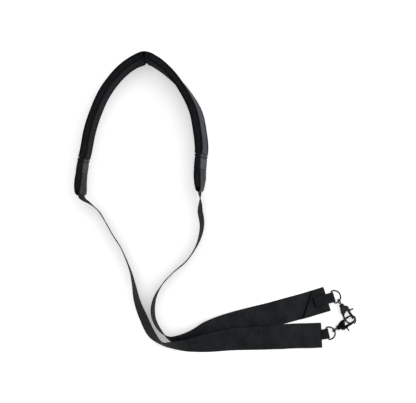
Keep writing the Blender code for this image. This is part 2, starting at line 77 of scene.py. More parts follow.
def lay(point):
    """From layout millimetres to metres in the frame."""
    return Vector((point[0] - LAYOUT_ORIGIN[0], point[1] - LAYOUT_ORIGIN[1], point[2])) * MM


def running(points):
    """The distance run at each point in a plane, from 0 at the first."""
    total = [0.0]
    for a, b in zip(points, points[1:]):
        total.append(total[-1] + hypot(b[0] - a[0], b[1] - a[1]))
    return total


def smooth_path(rows, step):
    """Rows at even steps along a centripetal Catmull-Rom curve, and its length."""
    def mix(a, b, share):
        return [p + (q - p) * share for p, q in zip(a, b)]

    first = [2 * a - b for a, b in zip(rows[0], rows[1])]
    last = [2 * a - b for a, b in zip(rows[-1], rows[-2])]
    knots = [first, *rows, last]
    dense = []
    for i in range(1, len(knots) - 2):
        four = knots[i - 1:i + 3]
        times = [0.0]
        for a, b in zip(four, four[1:]):
            times.append(times[-1] + sqrt(hypot(b[0] - a[0], b[1] - a[1])))
        for k in range(16):
            t = times[1] + (times[2] - times[1]) * k / 16

            def between(a, b, start, end):
                return mix(a, b, (t - times[start]) / (times[end] - times[start]))

            low = between(four[0], four[1], 0, 1)
            mid = between(four[1], four[2], 1, 2)
            high = between(four[2], four[3], 2, 3)
            dense.append(between(between(low, mid, 0, 2), between(mid, high, 1, 3), 1, 2))
    dense.append(list(rows[-1]))
    run = running(dense)
    count = max(2, round(run[-1] / step))
    points = []
    at = 0
    for k in range(count + 1):
        want = run[-1] * k / count
        while at < len(run) - 2 and run[at + 1] < want:
            at += 1
        points.append(mix(dense[at], dense[at + 1], (want - run[at]) / (run[at + 1] - run[at])))
    return points, run[-1]


def headings(points):
    result = []
    for i in range(len(points)):
        a, b = points[max(i - 1, 0)], points[min(i + 1, len(points) - 1)]
        result.append(Vector((b[0] - a[0], b[1] - a[1], 0)).normalized())
    return result


def left_of(direction):
    return Vector((-direction.y, direction.x, 0))


def linear(code):
    """An sRGB hex colour as linear values."""
    values = [int(code[i:i + 2], 16) / 255 for i in (1, 3, 5)]
    return (*[v / 12.92 if v <= 0.04045 else ((v + 0.055) / 1.055) ** 2.4 for v in values], 1.0)


def node(tree, kind, inputs=None, output=0, ramp=(), **settings):
    """Add a node with its settings, values, links and colour stops; returns an output."""
    made = tree.nodes.new("ShaderNode" + kind)
    for key, value in settings.items():
        setattr(made, key, value)
    for key, value in (inputs or {}).items():
        if isinstance(value, bpy.types.NodeSocket):
            tree.links.new(value, made.inputs[key])
        else:
            made.inputs[key].default_value = value
    for k, (place, colour) in enumerate(ramp):
        made.color_ramp.elements[k].position = place
        made.color_ramp.elements[k].color = linear(colour)
    return made.outputs[output]


def new_material(name, roughness, **values):
    """A material with a Principled shader whose plain values are set on its sockets."""
    made = bpy.data.materials.new(name)
    made.use_nodes = True
    shader = made.node_tree.nodes["Principled BSDF"]
    shader.inputs["Roughness"].default_value = roughness
    for key, value in values.items():
        shader.inputs[key.replace("_", " ")].default_value = value
    return made, made.node_tree, shader


def surface(tree, shader, tone, low, high, height=None, depth=0.0, strength=0.0):
    """Colour by a tone, from a low to a high stop, and bump of a depth in millimetres."""
    colour = node(tree, "ValToRGB", {"Fac": tone}, ramp=(low, high))
    tree.links.new(colour, shader.inputs["Base Color"])
    if height:
        bump = node(tree, "Bump", {"Height": height, "Distance": depth * MM, "Strength": strength})
        tree.links.new(bump, shader.inputs["Normal"])


def finished(name, bm):
    """A mesh from built faces, with all of them turned outwards."""
    bmesh.ops.recalc_face_normals(bm, faces=bm.faces)
    mesh = bpy.data.meshes.new(name)
    bm.to_mesh(mesh)
    bm.free()
    return mesh


def skin(name, rings, along, around, material, replaced):
    """A lofted body through rings of layout points; its UV map holds millimetres."""
    bm = bmesh.new()
    uv = bm.loops.layers.uv.new("lay")
    verts = [[bm.verts.new(lay(p)) for p in ring] for ring in rings]
    for i in range(len(rings) - 1):
        for j in range(len(rings[0])):
            k = (j + 1) % len(rings[0])
            face = bm.faces.new((verts[i][j], verts[i][k], verts[i + 1][k], verts[i + 1][j]))
            corners = ((i, j), (i, j + 1), (i + 1, j + 1), (i + 1, j))
            for loop, (a, b) in zip(face.loops, corners):
                loop[uv].uv = (along[a], around[b])
    for i in (0, len(rings) - 1):
        for b, loop in enumerate(bm.faces.new(verts[i]).loops):
            loop[uv].uv = (along[i], around[b])
    mesh = finished(name, bm)
    mesh.shade_smooth()
    mesh.set_sharp_from_angle(angle=radians(55))
    mesh.materials.append(material)
    return fit(bpy.data.objects.new(name, mesh), replaced)


def fit(piece, replaced=(), body=BODY):
    """Put a finished piece on its body, in place of its CAD nodes."""
    link(piece)
    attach(piece, body)
    if replaced:
        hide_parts(*replaced)
    return piece


def round_trip(ring):
    """The distance run round a closed ring, with its first point again at the end."""
    return running(ring + ring[:1])


def rough(x, y, z=0.0):
    """Smooth noise from -1 to 1."""
    return noise.noise(Vector((x, y, z)))


def ease(value, low, high):
    """From 0 at the low value to 1 at the high one, with soft ends."""
    share = min(1.0, max(0.0, (value - low) / (high - low)))
    return share * share * (3 - 2 * share)


class Band:
    """The band's line: where a point at a side offset and a height lies."""

    def __init__(self):
        self.sections, self.length = smooth_path(PAD_PATH, PAD_STEP)
        self.outward = [left_of(d) for d in headings(self.sections)]
        self.count = len(self.sections)

    def travel(self, i):
        return self.length * i / (self.count - 1)

    def nearest(self, travel):
        """The section nearest to a travel along the band."""
        return min(self.count - 1, max(0, round(travel / self.length * (self.count - 1))))

    def from_tip(self, i):
        return max(0.0, min(self.travel(i), self.length - self.travel(i)))

    def inset(self, i):
        """How far the band's rounded ends are cut in, at the top and the bottom."""
        short = max(0.0, TIP_ROUND - self.from_tip(i)) / TIP_ROUND
        return TIP_INSET * (1 - sqrt(1 - short * short))

    def half(self, i):
        """Half the foam's thickness."""
        return self.sections[i][2] / 2 - TAPE_THICK - GAP

    def past_crease(self, i, height=25.0):
        """Travel from the crease, which leans along the band."""
        lean = CREASE_LEAN * (height / PAD_HEIGHT - 0.5)
        return self.travel(i) - self.length * CREASE_AT - lean

    def crease(self, i, reach, height=25.0):
        """1 at the crease, falling off over a reach in millimetres."""
        return exp(-(self.past_crease(i, height) / reach) ** 2)

    def point(self, i, side, height, ahead=0.0):
        x, y, thick, lean = self.sections[i]
        out = self.outward[i]
        pinch = CREASE_DEPTH * self.crease(i, CREASE_REACH, height) * (0.5 - side / thick)
        shift = side + pinch + (PAD_HEIGHT - height) * tan(radians(lean))
        along = Vector((out.y, -out.x, 0)) * ahead
        return (x + out.x * shift + along.x, y + out.y * shift + along.y, height)


band = Band()


def paint_shade(piece, values):
    """Keep painted shade for each point, for the material to darken: in creases, seams, ridge
    valleys and at cut ends.
    """
    piece.data.attributes.new("painted_shade", "FLOAT", "POINT").data.foreach_set("value", values)


def edge_wall(i, across):
    """How far the wall's cloth stands out between the two tapes: crown, ribs, puckers."""
    travel = band.travel(i)
    crown = 0.55 * (1 - across * across)
    ribs = 0.16 * sin((travel - 2.0 * across) * 2 * pi / PLEAT)
    ribs *= 0.4 + 0.6 * ease(rough(travel * 0.02, 4.0), -0.4, 0.4)
    away = band.past_crease(i, PAD_HEIGHT)
    groove = -2.8 * band.crease(i, 1.7, PAD_HEIGHT) * (1 - 0.3 * across)
    bulge = 1.2 * exp(-((abs(away) - 3.6) / 1.7) ** 2)
    pucker = -0.8 * exp(-((abs(away) - 7.2) / 1.3) ** 2)
    return (crown + ribs * (1 - across ** 4) + (bulge + pucker) * (1 - across * across)
            + groove + 0.25 * rough(travel * 0.11, across * 1.3, 1.0))


def foam_rings():
    rings = []
    for i in range(band.count):
        half, low = band.half(i), band.inset(i)
        high = PAD_HEIGHT - low - FOAM_DROP * (1 - ease(band.from_tip(i), 0, TIP_RIM))
        cut = min(1.0, half * 0.5)
        ring = [(-half, high - cut)]
        for k in range(9):
            across = -1 + k / 4
            side = across * (half - 0.2)
            corner = cut * 0.8 * max(0.0, abs(across) - 0.75) / 0.25
            stand = edge_wall(i, across) if band.from_tip(i) > 3 else 0.0
            ring.append((side, high - corner + max(-2.6, stand) * 0.9))
        ring += [(half, high - cut), (half, low + cut)]
        ring += [((half - 0.2) * share, low + (cut * 0.8 if abs(share) == 1 else 0.0))
                 for share in (1, 0.6, 0, -0.6, -1)]
        ring.append((-half, low + cut))
        rings.append(ring)
    return rings


# Polyester boxing cloth is a close plain weave: dull, with fine threads and a little fluff.
boxing, tree, shader = new_material("woven polyester boxing cloth", 0.9, Specular_IOR_Level=0.02)
THREAD = 0.9  # drawn coarser than the real 0.3 mm threads so that it shows
WAVE = pi / 10  # a wave texture's period, in millimetres, at a scale of 1
spread = node(tree, "UVMap", uv_map="lay")
weft = node(tree, "TexWave", {"Scale": WAVE / THREAD, "Vector": spread}, "Fac")
warp = node(tree, "TexWave", {"Scale": WAVE / THREAD, "Vector": spread}, "Fac",
            bands_direction="Y")
weave = node(tree, "Math", {0: weft, 1: warp}, operation="MULTIPLY")
patches = node(tree, "TexNoise", {"Scale": 0.12, "Detail": 4.0, "Vector": spread})
# Slanted stripes of painted light and shade along the wall's pleats.
slanted = node(tree, "Mapping", {"Rotation": (0, 0, radians(24)), "Vector": spread})
pleat_light_and_shade = node(tree, "TexWave", {"Scale": WAVE / PLEAT, "Vector": slanted}, "Fac")
# Painted shade kept in the mesh: darker in the crease, its puckers and at the tips.
shade_painted_in = node(tree, "Attribute", output="Fac", attribute_name="painted_shade")
tone = node(tree, "Math", {0: weave, 1: 0.25, 2: patches}, operation="MULTIPLY_ADD")
tone = node(tree, "Math", {0: pleat_light_and_shade, 1: 0.45, 2: tone}, operation="MULTIPLY_ADD")
tone = node(tree, "Math", {0: tone, 1: shade_painted_in}, operation="SUBTRACT")
surface(tree, shader, tone, (0.3, "#08090a"), (1.0, "#1f2021"), weave, 0.12, 0.7)

shapes = foam_rings()
foam = skin("pad_core_cloth", [[band.point(i, *p) for p in ring] for i, ring in enumerate(shapes)],
            [band.travel(i) for i in range(band.count)], round_trip(shapes[band.count // 3]),
            boxing, ["pad_core"])
# Painted shade: darkest in the crease's groove, less in the puckers beside it, and half at the
# band's very tips.
paint_shade(foam, [max(band.crease(i, 1.5, PAD_HEIGHT),
                       0.6 * exp(-((abs(band.past_crease(i, PAD_HEIGHT)) - 7.2) / 1.0) ** 2),
                       0.5 - 0.5 * ease(band.from_tip(i), 0.5, 4))
                   for i in range(band.count) for _ in shapes[0]])


# The two smooth facings: knitted cloth glued over the foam on both sides of the band. The
# inner one bunches into short upright folds at the crease, where the band is squeezed, and
# the outer one has a cleaner face. The outer one is painted lighter as the lit side, and the
# inner one darker as the shaded side.
FACE_THICK = 1.2
FACE_LOW, FACE_HIGH = 5.0, 45.0
TAB_LENGTH = 54.4
TAB_GAP = 0.4
FACE_ROWS = 16
FOLD = 7.4  # from one fold at the crease to the next


def side_ring(i, side, thick, low, high, rows, stand):
    """A layer's section: flat against the foam, and shaped on its outer side."""
    near = side * (band.half(i) + GAP)
    ring = [(near, low + 0.3), (near, high - 0.3)]
    for k in range(rows, -1, -1):
        share = k / rows
        soft = 0.35 * thick if k in (0, rows) else 0.0
        height = low + (high - low) * share
        ring.append((near + side * (thick - soft + stand(i, height, share)), height))
    return ring


OPEN = [i for i in range(band.count) if band.from_tip(i) > TAB_LENGTH + TAB_GAP]


def reach_patch(i):
    """How far a layer's first and last section move on to close up to the leather."""
    return -0.5 if i == OPEN[0] else 0.5 if i == OPEN[-1] else 0.0


def facing(name, side, material, squeeze):
    def stand(i, height, share):
        travel = band.travel(i)
        swell = 0.5 * (1 - (2 * share - 1) ** 4)
        press = squeeze * band.crease(i, 15, height) * (1 - abs(2 * share - 1) ** 3)
        away = band.past_crease(i, height)
        phase = away * 2 * pi / FOLD + 0.8 * rough(height * 0.05, 2.0)
        folds = max(-0.9, -press * cos(phase))
        return swell + folds + 0.22 * rough(travel * 0.07, height * 0.06, side)

    shapes = [side_ring(i, side, FACE_THICK, FACE_LOW, FACE_HIGH, FACE_ROWS, stand) for i in OPEN]
    rings = [[band.point(i, *p, reach_patch(i)) for p in ring] for i, ring in zip(OPEN, shapes)]
    skin(name + "_cloth", rings, [band.travel(i) for i in OPEN],
         round_trip(shapes[len(shapes) // 3]), material, [name])


# Polyester jersey knit: rows of small loops that catch a soft light. The real loops are
# about 0.6 mm and are drawn coarser so that they show.
WALE, COURSE = 1.1, 0.8


def knit(name, low, high, roughness, gloss):
    made, tree, shader = new_material(name, roughness, Specular_IOR_Level=gloss)
    spread = node(tree, "UVMap", uv_map="lay")
    wales = node(tree, "TexWave", {"Scale": WAVE / WALE, "Vector": spread}, "Fac")
    courses = node(tree, "TexWave", {"Scale": WAVE / COURSE, "Vector": spread}, "Fac",
                   bands_direction="Y")
    loops = node(tree, "Math", {0: wales, 1: courses}, operation="MULTIPLY")
    patches = node(tree, "TexNoise", {"Scale": 0.06, "Detail": 5.0, "Vector": spread})
    tone = node(tree, "Math", {0: loops, 1: 0.25, 2: patches}, operation="MULTIPLY_ADD")
    surface(tree, shader, tone, (0.35, low), (0.85, high), loops, 0.1, 0.6)
    return made


# Painted light and shade: a lighter copy for the outer facing, as the lit side, and a darker copy
# for the inner one.
lit_knit_copy = knit("smooth jersey knit, outer", "#3a3d42", "#4b4e55", 0.6, 0.03)
shaded_knit_copy = knit("smooth jersey knit, inner", "#232428", "#2f3235", 0.7, 0.01)
facing("pad_face_outer", 1, lit_knit_copy, 0.35)
facing("pad_face_inner", -1, shaded_knit_copy, 1.3)


# Folded tape along the band's four long edges: ribbed nylon tape, turned over the edge of
# the facing and sewn through with black thread, which dimples it at each stitch.
STITCH = 3.2  # from one stitch to the next
# The tape's section: how far out from the foam, and how far up from its lower edge.
TAPE_RING = [(0.0, 0.35), (0.0, 4.05), (0.45, 4.4), (1.1, 4.35), (1.55, 4.0), (1.72, 3.3),
             (1.7, 2.2), (1.72, 1.1), (1.55, 0.4), (1.1, 0.05), (0.45, 0.0)]


def edge_tape(name, side, base, material):
    rings = []
    for i in OPEN:
        travel = band.travel(i)
        near = band.half(i) + GAP
        dip = 0.16 * (0.5 + 0.5 * cos(travel * 2 * pi / STITCH))
        waver = 0.12 * rough(travel * 0.09, base, side * 3.0)
        pinch = 0.35 * band.crease(i, 9) * sin(travel * 2 * pi / 6.1)
        ring = []
        for out, up in TAPE_RING:
            sink = dip if 1.0 < up < 3.4 and out > 1 else 0.0
            ring.append((side * (near + out * (1 - 0.07 * pinch) - sink + (waver if out else 0)),
                         base + up + (pinch * 0.5 if base > 20 else 0.0)))
        rings.append([band.point(i, *p, reach_patch(i)) for p in ring])
    skin(name + "_tape", rings, [band.travel(i) for i in OPEN], round_trip(TAPE_RING),
         material, [name])


def bridge(bm, rings, closed=False):
    """Walls from ring to ring of vertices, with a cap at each end unless they close up."""
    turns = len(rings[0])
    for a, b in zip(rings, rings[1:] + rings[:1] if closed else rings[1:]):
        for m in range(turns):
            bm.faces.new((a[m], a[(m + 1) % turns], b[(m + 1) % turns], b[m]))
    if not closed:
        bm.faces.new(rings[0])
        bm.faces.new(rings[-1])


# A stitch from end to end: share of its length, height above the cloth, and how full it is.
STITCH_SHAPE = ((0.02, -0.35, 0.35), (0.28, 0.3, 1.0), (0.72, 0.3, 1.0), (0.98, -0.35, 0.35))


def stitches(name, places, material, thick=0.42):
    """Raised stitches, each between two points, bowed out along a direction."""
    bm = bmesh.new()
    for start, end, out in places:
        start, end = Vector(start), Vector(end)
        ahead = (end - start).normalized()
        aside = ahead.cross(out).normalized()
        rings = []
        for share, bow, swell in STITCH_SHAPE:
            middle = start.lerp(end, share) + out * thick * bow
            turns = [aside * cos(pi * m / 3) + out * sin(pi * m / 3) for m in range(6)]
            rings.append([bm.verts.new(lay(middle + turn * thick * 0.6 * swell))
                          for turn in turns])
        bridge(bm, rings)
    mesh = finished(name, bm)
    mesh.shade_smooth()
    mesh.materials.append(material)
    fit(bpy.data.objects.new(name, mesh))


def band_stitches(name, side, height, stand, low, high, material, step=STITCH):
    """A run of stitches along the band at one height, between two travels."""
    places, start = [], low
    while start + step < high:
        ends = []
        for share in (0.12, 0.88):
            travel = start + step * share
            i = band.nearest(travel)
            ends.append(band.point(i, side * (band.half(i) + GAP + stand), height,
                                   travel - band.travel(i)))
        places.append((*ends, band.outward[i] * side))
        start += step
    stitches(name, places, material)


# Grosgrain nylon tape: fine ribs across its width, rather dull.
TAPE_RIB = 1.0
grosgrain, tree, shader = new_material("black grosgrain nylon tape", 0.8, Specular_IOR_Level=0.02)
spread = node(tree, "UVMap", uv_map="lay")
ribs = node(tree, "TexWave", {"Scale": WAVE / TAPE_RIB, "Vector": spread}, "Fac")
surface(tree, shader, ribs, (0.0, "#0d0f10"), (1.0, "#1b1c1f"), ribs, 0.15, 0.8)
# Bonded polyester thread: tight, a little shiny. Its ply shows as a 1 mm mottle.
thread, tree, shader = new_material("bonded black polyester thread", 0.5, Specular_IOR_Level=0.05)
place = node(tree, "TexCoord", output="Object")
twist = node(tree, "TexNoise", {"Scale": 900.0, "Vector": place})
surface(tree, shader, twist, (0.35, "#0a0b0c"), (0.65, "#16171a"))

for face, side in (("outer", 1), ("inner", -1)):
    for edge, base in (("bottom", 0.3), ("top", 45.3)):
        word = "binding_%s_%s" % (face, edge)
        edge_tape(word, side, base, grosgrain)
        band_stitches(word + "_stitches", side, base + 2.2, 1.55, TAB_LENGTH + 2,
                      band.length - TAB_LENGTH - 2, thread)


# Leather patches over the band's ends: split cowhide about 1.4 mm thick, one on each side,
# sewn round the webbing that goes in between them. A turned hem, a smooth stretch, then
# lengthwise ridges pressed up between rows of stitching.
TAB_THICK = 1.4
HEM, SMOOTH = 5.0, 19.0  # lengths of the hem and of the smooth stretch after it
RIDGES = 5
TAB_ROWS = 50
WEB_ROOM, RIM_ROOM = 0.75, 0.08  # half the room between two patches, for webbing and at rims
WEB_LOW, WEB_HIGH = 5.2, 44.6  # heights between which the webbing is
# Sections beyond the tip, where the two patches close over the webbing: how far out, how
# much narrower, and how far in.
TAB_CLOSING = [(0.9, 0.3, 0.2), (1.7, 0.7, 0.7), (2.4, 1.2, 1.4), (3.0, 2.0, 2.1)]


def tab(name, side, at_start, material):
    """One leather patch, from its hem on the band to the rim it closes with at the tip."""
    inside = [i for i in range(band.count) if band.from_tip(i) <= TAB_LENGTH
              and (band.travel(i) < band.length / 2) == at_start]

    def stand(i, height, share):
        reach = band.from_tip(i)
        back = TAB_LENGTH - reach
        ridged = ease(back, HEM + SMOOTH, HEM + SMOOTH + 4) * ease(reach, 1, 6)
        ridged *= ease(min(share, 1 - share), 0.02, 0.09)
        ridge = 0.75 * abs(sin(pi * RIDGES * share)) ** 0.6 - 0.25
        hem = 0.35 * (1 - ease(back, HEM - 1.2, HEM)) * ease(back, 0, 1.0)
        seam = sum(-0.7 * exp(-((back - at) / 1.0) ** 2) for at in (HEM, HEM + SMOOTH))
        crease = 0.2 * rough(back * 0.12, height * 0.05, 5.0 + side)
        swell = 0.3 * (1 - (2 * share - 1) ** 4) * ease(back, HEM, HEM + 8)
        return ridged * ridge + hem + seam + crease + swell

    shapes, rings = [], []
    for i in inside:
        low = band.inset(i) + GAP
        rim = side * (1 - ease(band.from_tip(i), 0, TIP_RIM))
        near, *far = side_ring(i, side, TAB_THICK, low, PAD_HEIGHT - low, TAB_ROWS, stand)
        shapes.append([(near[0] - rim, near[1]), (far[0][0] - rim, far[0][1]), *far[1:]])
        rings.append([band.point(i, *p) for p in shapes[-1]])
    tip = inside[0] if at_start else inside[-1]
    ends = []
    for reach, draw, close in TAB_CLOSING:
        low = band.inset(tip) + GAP + draw
        shape = side_ring(tip, side, TAB_THICK, low, PAD_HEIGHT - low, TAB_ROWS,
                          lambda i, height, share, draw=draw: -0.2 * draw)
        ring = []
        for across, height in shape:
            room = band.half(tip) + GAP - (WEB_ROOM if WEB_LOW < height < WEB_HIGH else RIM_ROOM)
            ring.append(band.point(tip, across - side * min(close * 1.6, room), height,
                                   -reach if at_start else reach))
        ends.append(ring)
    travels = [band.travel(i) for i in inside]
    if at_start:
        rings = ends[::-1] + rings
        travels = [-reach for reach, *_ in TAB_CLOSING[::-1]] + travels
    else:
        rings = rings + ends
        travels += [travels[-1] + reach for reach, *_ in TAB_CLOSING]
    patch = skin(name + "_leather", rings, travels, round_trip(shapes[len(shapes) // 2]),
                 material, [name])
    # Painted shade in the two seams and in the valleys between the ridges; the ridged stretch is
    # also a little darker overall.
    shade = []
    for travel in travels:
        back = TAB_LENGTH - min(travel, band.length - travel)
        seam = max(1.5 * exp(-((back - at) / 1.2) ** 2) for at in (HEM, HEM + SMOOTH))
        for k in range(len(shapes[0])):
            share = min(1.0, max(0.0, 1 - (k - 2) / TAB_ROWS))
            valley = 1 - abs(sin(pi * RIDGES * share)) ** 0.7
            shade.append(max(seam, valley * ease(back, HEM + SMOOTH, HEM + SMOOTH + 3),
                             0.35 * ease(back, HEM + SMOOTH, HEM + SMOOTH + 2)))
    paint_shade(patch, shade)
    across = []
    for back in (HEM + 0.2, HEM + SMOOTH):
        travel = TAB_LENGTH - back if at_start else band.length - TAB_LENGTH + back
        i = band.nearest(travel)
        stand_at = side * (band.half(i) + GAP + TAB_THICK - 0.25)
        for k in range(16):
            height = 2.5 + 2.9 * k
            across.append((band.point(i, stand_at, height), band.point(i, stand_at, height + 2.3),
                           band.outward[i] * side))
    stitches(name + "_seams", across, thread)
    for row in range(1, RIDGES):
        level = 0.3 + (PAD_HEIGHT - 0.6) * row / RIDGES
        start, end = 5.0, TAB_LENGTH - HEM - SMOOTH - 1
        if not at_start:
            start, end = band.length - end, band.length - start
        band_stitches("%s_row_%d" % (name, row), side, level, TAB_THICK - 0.35, start, end,
                      thread, 3.0)


# Drum-dyed cowhide: fine pebbled grain with a low gloss, greyer where it is rubbed, darker with
# painted shade in seams and ridge valleys.
GRAIN = 1.1  # pebbles drawn a little coarser than the real 0.7 mm


def cowhide(name, low, high):
    made, tree, shader = new_material(name, 0.55, Specular_IOR_Level=0.05)
    place = node(tree, "TexCoord", output="Object")
    pebbles = node(tree, "TexVoronoi", {"Scale": 1 / (GRAIN * MM), "Vector": place},
                   feature="DISTANCE_TO_EDGE")
    pores = node(tree, "TexNoise", {"Scale": 700.0, "Detail": 3.0, "Vector": place})
    rubbed = node(tree, "TexNoise", {"Scale": 60.0, "Detail": 4.0, "Vector": place})
    shade_painted_in = node(tree, "Attribute", output="Fac", attribute_name="painted_shade")
    tone = node(tree, "Math", {0: shade_painted_in, 1: -0.42, 2: rubbed},
                operation="MULTIPLY_ADD")
    grain = node(tree, "Math", {0: pores, 1: 0.3, 2: pebbles}, operation="MULTIPLY_ADD")
    surface(tree, shader, tone, (0.05, low), (0.7, high), grain, 0.22, 0.6)
    return made


# A painted lit copy for the outer patches and a painted shaded copy for the inner ones.
lit_hide_copy = cowhide("drum-dyed black cowhide, painted lit copy", "#0e0f10", "#4e5258")
shaded_hide_copy = cowhide("drum-dyed black cowhide", "#0b0c0d", "#3d4045")
for end, at_start in (("left", True), ("right", False)):
    tab("end_tab_%s_outer" % end, 1, at_start, lit_hide_copy)
    tab("end_tab_%s_inner" % end, -1, at_start, shaded_hide_copy)


# The two straps: 38 mm nylon webbing, woven with ribs across it and a firm round edge.
# Each leaves the band standing on its edge, twists until it lies flat, and is folded back
# at its end, the left one under itself and the right one over, with a slanted cut.
WEB_WIDTH = 38.0
WEB_THICK = 1.3
WEB_STEP = 1.5
WEB_CLEAR = 0.08  # how far it stays off the surface
# x and y of the strap's middle, its roll in degrees from standing (0) to flat (90), and how
# far its lower edge is lifted off the surface.
LEFT_PATH = [
    (-213.6, 16.5, 0, 6), (-211.4, 10.5, -1, 5.5), (-205.2, 5.5, 0.5, 4), (-196.5, -1, 6, 1),
    (-186.5, -10, 8.5, 0), (-175, -28.5, 11, 0), (-164.3, -47, 11, 0), (-152, -66, 11, 0),
    (-137, -101.5, 14, 0), (-132, -121, 18, 0), (-126.5, -148, 25, 0), (-116, -175, 30, 0),
    (-103.5, -199, 28.5, 0), (-86, -213.5, 16, 0), (-72, -215.5, 22.5, 0), (-53, -216, 33, 0),
    (-37, -214.5, 42, 0), (-18, -212, 52, 0), (16, -207, 65, 0), (65, -204, 76, 0),
    (86, -202.5, 84, 0.4), (95, -201.8, 88, 2.2), (104, -201, 89, 2.4), (124, -200, 90, 2.4),
    (134, -199.5, 90, 4.6), (154.5, -198.5, 90, 4.6)]
RIGHT_PATH = [
    (-28.7, 21.5, 0, 6), (-28.5, 16, 1, 5), (-28.4, 8, 8, 2.5), (-28.6, -1, 14, 0),
    (-28.7, -11, 17, 0),
    (-27, -20, 17, 0), (-26, -32, 15, 0), (-28.8, -48, 12, 0), (-36, -66, 7, 0),
    (-49.7, -86, 4.5, 0), (-70.5, -104, 3.3, 0), (-86.2, -121, 4.8, 0), (-98, -141, 2, 0),
    (-101.8, -161, 0.5, 0), (-98.8, -178, 3, 0), (-88.3, -195, 7, 0), (-74, -206, 19, 0),
    (-58, -207.5, 32, 0), (-43, -205, 41, 0), (-29, -200, 50, 0), (-17, -194.5, 60, 0),
    (-5, -190.5, 68, 0), (18, -184, 80, 0), (54.5, -174.7, 90, 0), (79, -168.5, 90, 0),
    (103.5, -161.5, 90, 0), (128.5, -154.5, 90, 0), (163, -143.8, 90, 0)]


def web_edges(rows):
    """Lower and upper edge of the webbing at each step."""
    points, _ = smooth_path(rows, WEB_STEP)
    result = []
    for (x, y, roll, lift), direction in zip(points, headings(points)):
        lean = radians(roll)
        across = left_of(direction) * sin(lean) + Vector((0, 0, cos(lean)))
        rise = WEB_WIDTH / 2 * abs(cos(lean)) + WEB_THICK / 2 * sin(lean)
        middle = Vector((x, y, rise + max(lift, 0) + WEB_CLEAR))
        result.append([middle - across * WEB_WIDTH / 2, middle + across * WEB_WIDTH / 2])
    return result


def back_along(edge, distance):
    """The point at a distance back from an edge's end."""
    for near, far in zip(edge[::-1], edge[-2::-1]):
        span = (near - far).length
        if distance <= span:
            return near.lerp(far, distance / span)
        distance -= span
    return edge[0]


def turn_back(rows, tail, slant, above):
    """The fold at the strap's end, over or under it, and the tail cut at a slant."""
    radius = (WEB_THICK + GAP) / 2 * (1 if above else -1)
    low_edge, high_edge = [row[0] for row in rows], [row[1] for row in rows]
    ahead = (low_edge[-1] - low_edge[-2]).normalized()
    folded = []
    for k in range(1, 8):
        turn = pi * k / 8
        move = ahead * abs(radius) * sin(turn) + Vector((0, 0, radius * (1 - cos(turn))))
        folded.append([low_edge[-1] + move, high_edge[-1] + move])
    lift = Vector((0, 0, 2 * radius))
    steps = round(tail / WEB_STEP)
    for k in range(steps + 1):
        share = k / steps
        folded.append([back_along(low_edge, share * (tail + slant)) + lift,
                       back_along(high_edge, share * (tail - slant)) + lift])
    return folded


# Half of the webbing's section: place across from 0 at the middle to 1 at the edge, and
# half thickness there. The edge is a firm rounded cord with a shallow valley beside it.
HALF_SECTION = [(0.12 * k, 1.0) for k in range(7)] + [
    (0.83, 0.98), (0.9, 0.86), (0.94, 1.0), (0.975, 0.94), (0.994, 0.6)]
END_SHADE_REACH = 2.6  # painted shade reaches this far in from each cut end, which is melted so that it doesn't fray


def ribbon(name, rows, width, thick, material, replaced, flutter=0.0):
    """A woven strap through rows of two edges, with a rounded section."""
    across_steps = [-s for s, _ in HALF_SECTION[::-1]] + [s for s, _ in HALF_SECTION[1:]]
    halves = [h for _, h in HALF_SECTION[::-1]] + [h for _, h in HALF_SECTION[1:]]
    middles = [(row[0] + row[1]) / 2 for row in rows]
    travel = [0.0]
    for a, b in zip(middles, middles[1:]):
        travel.append(travel[-1] + (b - a).length)
    rings = []
    for i, (low, high) in enumerate(rows):
        ahead = (middles[min(i + 1, len(rows) - 1)] - middles[max(i - 1, 0)]).normalized()
        across = (high - low).normalized()
        normal = ahead.cross(across).normalized()
        near, far = [], []
        for share, half in zip(across_steps, halves):
            sway = flutter * rough(travel[i] * 0.045, share * 0.9, len(name)) * (1 - share * share)
            place = (low + high) / 2 + (high - low) / 2 * share + normal * sway
            near.append(place + normal * thick / 2 * half)
            far.append(place - normal * thick / 2 * half)
        rings.append(near + far[::-1])
    marks = [(1 + s) * width / 2 for s in across_steps]
    around = marks + [2 * width - m for m in marks[::-1]] + [2 * width]
    piece = skin(name, rings, travel, around, material, replaced)
    # Painted shade over the last few millimetres at both cut ends.
    paint_shade(piece, [1 - ease(min(at, travel[-1] - at), END_SHADE_REACH * 0.4, END_SHADE_REACH)
                        for at in travel for _ in rings[0]])
    return piece, travel[-1]


# Nylon webbing: thick cross ribs packed by fine warp threads, dull from use. Its cut ends
# are melted shut with heat, and painted shade darkens them. The real ribs are about 1.5 mm
# apart and the warp threads 0.8 mm. Both are drawn coarser so that they show.
RIB, WARP = 3.8, 1.9


